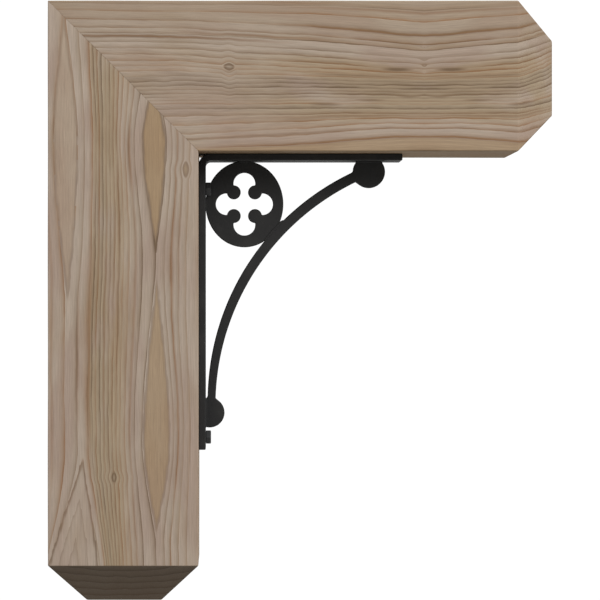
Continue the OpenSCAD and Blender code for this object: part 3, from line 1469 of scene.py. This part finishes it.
@dataclass
class WeldBeads(Ironwork):
    """Low beads where the ring, the brace and the strap are welded together.

    Attributes:
        sunk: how far a bead's middle lies below the plate's face.
        lift: how far it lies off the strap, as a share of its half width.
        spread: angle that the ring's bead covers on the brace, each way.
        steps: points along a straight bead.
        ring_half: half length of the beads between the ring and the strap.
        lower_half: half length of the bead at the lower disc.
        upper_half: half length of the bead at the upper disc.
    """

    piece_name: ClassVar[str] = "weld_beads"
    bead_r: float = 1.5
    proud: float = 0.75
    ripple: float = 0.10
    ripple_run: float = 2.3
    sunk: float = 0.15
    lift: float = 0.15
    spread: float = 0.056
    steps: int = 26
    ring_half: float = 6.0
    lower_half: float = 14.2
    upper_half: float = 12.2

    def bead(self, line: np.ndarray, y: float) -> Shell:
        """Tube along a line, drawn in to a point at both ends and rippled.

        Its radius is the bead's radius times the fourth root of a parabola
        along its run, plus a small wave.

        Args:
            line: points in X and Z.
            y: distance from the middle plane.

        Returns:
            The shell.
        """
        step = np.linalg.norm(np.diff(line, axis=0), axis=1)
        run = np.concatenate([[0], np.cumsum(step)])
        t = run / run[-1]
        swell = np.maximum(4 * t * (1 - t), 0) ** 0.25
        wave = 1 + self.ripple * np.sin(2 * math.pi * run / self.ripple_run)
        way = np.gradient(line, axis=0)
        way /= np.linalg.norm(way, axis=1)[:, None]
        side = np.stack([way[:, 1], -way[:, 0]], 1)
        turn = np.linspace(0, 2 * math.pi, 14, endpoint=False)
        flat = (self.bead_r * swell * wave)[:, None] * np.cos(turn)
        out = (self.proud * swell * wave)[:, None] * np.sin(turn)
        points = np.stack([line[:, None, 0] + side[:, None, 0] * flat, y + out,
                           line[:, None, 1] + side[:, None, 1] * flat], -1)
        return Shell.of_grid(points)

    def lines(self) -> list[np.ndarray]:
        """Middle lines of the beads, seen from the side.

        Returns:
            One line for each place where two pieces meet.
        """
        lay = self.lay
        gap = lay.ring - lay.bar_outer
        heading = math.atan2(gap[1], gap[0])
        turn = np.linspace(-self.spread, self.spread, 40) + heading
        reach = lay.bar_outer_r + lay.weld_gap / 2
        found = [lay.bar_outer + reach * ways(turn)]
        out = self.bead_r * self.lift
        t = np.linspace(-1, 1, self.steps)
        upright = np.full(self.steps, lay.leg_x + out)
        level = np.full(self.steps, lay.leg_z - out)
        for z, half in ((lay.ring[1], self.ring_half),
                        (lay.lower_disc[1], self.lower_half)):
            found.append(np.stack([upright, z + half * t], 1))
        for x, half in ((lay.ring[0], self.ring_half),
                        (lay.upper_disc[0], self.upper_half)):
            found.append(np.stack([x + half * t, level], 1))
        return found

    def shell(self) -> Shell:
        """All beads, on both faces of the plate."""
        y = self.lay.plate_t / 2 - self.sunk
        return Shell.joined([self.bead(line, side * y) for line in self.lines()
                             for side in (-1, 1)])


class Leg(Enum):
    """Leg of the strap that a screw goes through."""

    POST = "post"
    BEAM = "beam"


@dataclass
class LagScrew:
    """Hexagon lag screw with a bevelled head, a plain neck and a thread.

    Attributes:
        name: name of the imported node.
        leg: leg of the strap that it goes through.
        place: distance along that leg, as a level or a distance from the wall.
        offset: place across the leg.
        lay: shared sizes.
    """

    name: str
    leg: Leg
    place: float
    offset: float
    lay: Layout
    head_af: float = 12.3
    head_h: float = 5.0
    shank_d: float = 7.9
    shank_len: float = 57.0
    point_len: float = 9.0
    neck: float = 16.0
    pitch: float = 3.2
    thread_h: float = 0.85

    def shell(self) -> Shell:
        """Surface by angle and run, from the middle of the head to the point.

        The head's radius is the lesser of the hexagon's and of a cone that
        bevels its top and is the wider of the two below that. The shank's is
        round, less a wave that turns with the run below the neck.

        Returns:
            The shell.
        """
        turn = np.linspace(0, 2 * math.pi, 96, endpoint=False)
        flat = np.mod(turn, math.pi / 3) - math.pi / 6
        hexagon = self.head_af / 2 / np.cos(flat)
        top, full = self.head_h, self.head_af
        face_r = full * 0.455
        head = [(top - 0.25, 0.0), (top - 0.2, face_r * 0.5), (top - 0.06, face_r * 0.92),
                (top, face_r), (top - 0.35, face_r + 0.75), (top - 0.7, face_r + 1.3),
                (top - 1.2, full), (top / 2, full), (0.5, full), (0.35, full)]
        seat = [(0.3, full * 0.47), (0.0, full * 0.46)]
        radius = self.shank_d / 2
        run = np.linspace(-0.05, -self.shank_len, 190)
        taper = np.clip((run + self.shank_len) / self.point_len, 0.05, 1.0)
        coil = np.abs(np.mod(run[:, None] / self.pitch + turn / (2 * math.pi), 1) - 0.5) * 2
        cut = np.clip((-run - self.neck) / self.pitch, 0, 1)[:, None]
        depth = self.thread_h * (1 - np.clip(1.5 * coil - 0.1, 0, 1)) * cut
        shank = np.maximum(radius - 0.02 - depth, 0.3) * taper[:, None]
        shank[-1] = 0.0
        head_x, cone = np.array(head).T
        seat_x, seat_r = np.array(seat).T
        rows = np.vstack([np.minimum(cone[:, None], hexagon[None]),
                          np.tile(seat_r[:, None], len(turn)), shank])
        a = np.concatenate([head_x, seat_x, run])[:, None] * np.ones(len(turn))
        across, side = rows * np.cos(turn), rows * np.sin(turn)
        if self.leg is Leg.POST:
            grid = np.stack([self.lay.leg_x + a, self.offset + across,
                             self.place + side], -1)
        else:
            grid = np.stack([self.place + side, self.offset + across,
                             self.lay.leg_z - a], -1)
        return Shell.of_grid(grid)

    def build(self, finish: bpy.types.Material) -> bpy.types.Object:
        """Makes the screw in that finish."""
        return self.shell().piece(f"{self.name}_body", self.name, "screw_iron", finish)


# ---- Finishes of this bracket ----
POST_RINGS = ((-40.0, 0.0), (0.0, 2.0), (17.0, 3.0), (28.0, 4.0), (38.5, 5.0),
              (46.0, 7.0), (70.0, 13.0), (81.0, 15.0), (88.0, 16.0), (97.0, 16.7),
              (104.0, 17.3), (115.0, 19.0), (122.0, 20.0), (131.0, 21.2),
              (142.0, 22.0), (165.0, 27.0), (200.0, 35.0), (240.0, 45.0),
              (320.0, 58.0))
POST_ISLANDS = (
    Island(16.5, 128.0, 11.5, 130.0, 156.0, -0.015, 0.30, 0.45),
    Island(98.5, 130.0, 11.0, 60.0, 106.0, -0.02, 0.85, 0.65),
    Island(101.0, -145.0, 12.5, 160.0, 92.0, 0.0, 0.70, 0.45),
    Island(20.0, -305.0, 27.0, 148.0, 60.0, 0.09, 0.05, 0.75, 9.0),
    Island(61.5, -180.0, 2.2, 7.0, 7.0, 0.0, 0.0, 0.9, 1.2),
    Island(128.0, 106.0, 2.8, 9.0, 11.0, 0.0, 0.6, 0.7),
)
POST_VEINS = (
    Vein(28.0, 1.4, -70.0, 75.0, 0.85, 0.25), Vein(39.0, 1.7, -70.0, 120.0, 0.80, 0.85),
    Vein(80.0, 2.4, 122.0, 42.0, 0.80, 0.65), Vein(81.5, 1.2, -60.0, 260.0, 0.50, 0.8),
    Vein(115.0, 1.8, 10.0, 250.0, 0.70, 0.9), Vein(122.0, 1.1, 60.0, 120.0, 0.60, 0.5),
    Vein(4.5, 1.8, -70.0, 170.0, 0.50, 1.0), Vein(53.0, 1.2, -40.0, 220.0, 0.65, 0.6),
    Vein(66.0, 1.2, 20.0, 180.0, 0.60, 0.3), Vein(45.5, 1.4, 60.0, 150.0, 0.60, 0.7),
)
BEAM_RINGS = ((-40.0, 0.0), (0.0, 3.2), (10.0, 4.0), (20.0, 5.0), (33.0, 6.0),
              (41.0, 7.0), (46.0, 8.0), (54.0, 9.0), (62.0, 10.5), (68.0, 12.0),
              (97.0, 22.0), (120.0, 27.0), (128.0, 28.0), (142.0, 29.0),
              (180.0, 38.0), (220.0, 47.0), (320.0, 65.0))
BEAM_ISLANDS = (
    Island(69.8, -181.0, 2.2, 7.0, 7.0, 0.0, 0.0, 0.9, 1.2),
)
BEAM_VEINS = (
    Vein(48.5, 1.5, -260.0, 150.0, 1.0, 0.5), Vein(44.0, 1.4, -150.0, 90.0, 0.8, 0.6),
    Vein(32.0, 1.6, -40.0, 120.0, 1.0, 0.6), Vein(127.3, 1.5, -30.0, 200.0, 0.9, 0.8),
    Vein(119.0, 1.2, -150.0, 210.0, 0.6, 0.3), Vein(65.0, 1.9, -25.0, 18.0, 1.1, 0.1),
    Vein(72.0, 1.2, -50.0, 70.0, 0.7, 0.3), Vein(93.0, 1.5, -50.0, 18.0, 0.8, 0.2),
    Vein(97.5, 1.5, -92.0, 18.0, 0.8, 0.2), Vein(89.0, 1.4, -14.0, 14.0, 0.7, 0.2),
    Vein(87.0, 1.3, -125.0, 24.0, 0.6, 0.2), Vein(12.0, 1.6, -20.0, 120.0, 0.6, 0.8),
    Vein(7.0, 2.0, -110.0, 60.0, 0.5, 0.9), Vein(108.0, 1.3, -60.0, 120.0, 0.7, 0.6),
)


# ---- Studio ----
@dataclass
class Studio:
    """Floor, soft lights, white surroundings and the camera, in metres.

    Attributes:
        floor_z: level of the floor.
        floor_r: its radius.
        sky: colour of the light from above.
        ground: colour of the light from below.
        backdrop: brightness of the white behind the bracket.
        middle: point that the lights face.
        key_place, key_size, key_watts: light in front of the bracket.
        fill_place, fill_size, fill_watts: light behind it.
        stand: where the camera stands.
        lens: its focal length, in millimetres.
        shift: how far the view is moved sideways, as a share of its width.
    """

    floor_z: float = -2.6
    floor_r: float = 20.0
    sky: Colour = (0.80, 0.80, 0.80)
    ground: Colour = (0.308, 0.292, 0.250)
    backdrop: float = 1.05
    middle: Point = (0.235, 0.0, -0.02)
    key_place: Point = (2.0, -2.9, 2.0)
    key_size: float = 1.8
    key_watts: float = 80.0
    fill_place: Point = (-2.4, 2.6, 1.6)
    fill_size: float = 2.4
    fill_watts: float = 26.0
    stand: Point = (0.1606, -2.9908, -0.01565)
    lens: float = 189.18
    shift: float = 0.1317

    def floor(self) -> None:
        """Lays a large pale disc well below the bracket."""
        turn = np.linspace(0, 2 * math.pi, 128, endpoint=False)
        rim = np.hstack([self.floor_r * ways(turn), np.full((128, 1), self.floor_z)])
        mesh = bpy.data.meshes.new("studio_floor")
        mesh.from_pydata(rim.tolist(), [], [list(range(128))])
        mesh.materials.append(PlainFinish("pale_floor", (0.86, 0.86, 0.85)).build())
        floor = placed("studio_floor", mesh)
        floor.visible_diffuse = False

    def surroundings(self) -> None:
        """Pale from above and dim from below, and plain white to look at."""
        world = bpy.data.worlds.new("studio_white")
        bpy.context.scene.world = world
        g = Graph(world)
        where = g.wire(g.node("ShaderNodeTexCoord"), "Generated")
        height = g.wire(g.node("ShaderNodeSeparateXYZ", None, {0: where}), 2)
        shade = g.ramp(g.rise(height, -0.35, 0.35), [(0.0, self.ground), (1.0, self.sky)])
        soft = g.wire(g.node("ShaderNodeBackground", None, {0: shade}))
        white = g.wire(g.node("ShaderNodeBackground", None,
                              {0: (1.0, 1.0, 1.0), 1: self.backdrop}))
        seen = g.wire(g.node("ShaderNodeLightPath"), "Is Camera Ray")
        pick = g.node("ShaderNodeMixShader", None, {0: seen, 1: soft, 2: white})
        g.node("ShaderNodeOutputWorld", None, {0: g.wire(pick)})

    def lamp(self, name: str, place: Point, size: float, watts: float) -> None:
        """Hangs a square soft light that faces the middle of the bracket.

        Args:
            name: name of the light.
            place: where it hangs, in metres.
            size: length of its side.
            watts: its power.
        """
        data = bpy.data.lights.new(name, "AREA")
        data.shape = "SQUARE"
        data.size = size
        data.energy = watts
        lamp = placed(name, data)
        lamp.location = place
        aim = Vector(self.middle) - Vector(place)
        lamp.rotation_euler = aim.to_track_quat("-Z", "Y").to_euler()

    def camera(self) -> None:
        """Sets the camera level and square on to the side of the bracket."""
        data = bpy.data.cameras.new("side_view")
        data.sensor_width = 36.0
        data.lens = self.lens
        data.shift_x = self.shift
        data.clip_end = 60.0
        camera = placed("side_view", data)
        camera.location = self.stand
        camera.rotation_euler = (math.pi / 2, 0.0, 0.0)
        bpy.context.scene.camera = camera

    def build(self) -> None:
        """Sets up the whole studio."""
        bpy.context.scene.view_settings.view_transform = "Standard"
        self.floor()
        self.surroundings()
        self.lamp("key", self.key_place, self.key_size, self.key_watts)
        self.lamp("fill", self.fill_place, self.fill_size, self.fill_watts)
        self.camera()


def main() -> None:
    """Builds the studio, the timbers and the ironwork in order."""
    logging.basicConfig(level=logging.INFO, format="%(message)s")
    Studio().build()
    lay = Layout()
    Timber("post", Grain.UPRIGHT, lay.bracket_h, lay).build(
        TimberFinish("planed_softwood_post", Grain.UPRIGHT, lay, POST_RINGS,
                     POST_ISLANDS, POST_VEINS))
    Timber("beam", Grain.LEVEL, lay.bracket_reach, lay).build(
        TimberFinish("planed_softwood_beam", Grain.LEVEL, lay, BEAM_RINGS,
                     BEAM_ISLANDS, BEAM_VEINS, warm_from=127.8, shaded_to=52.0,
                     calm=0.75, bold=1.3))
    iron = IronFinish("black_coated_iron").build()
    screw = IronFinish("black_coated_screw", coat=(0.022, 0.022, 0.023),
                       worn=(0.05, 0.05, 0.05), shine=0.4, rough=0.45,
                       dents=0.00006).build()
    for kind in (IronStrap, QuatrefoilRing, CurvedBrace, WeldBeads):
        kind(lay).build(iron)
    off = lay.screw_offset
    for name, leg, place, offset in (
            ("lag_screw_post_upper", Leg.POST, lay.leg_z - lay.corner_screw_drop, -off),
            ("lag_screw_post_lower", Leg.POST, lay.post_leg_end + lay.end_screw_edge, 0.0),
            ("lag_screw_beam_inner", Leg.BEAM, lay.ring[0], off),
            ("lag_screw_beam_outer", Leg.BEAM, lay.upper_disc[0], off)):
        LagScrew(name, leg, place, offset, lay).build(screw)


if __name__ == "__main__":
    main()
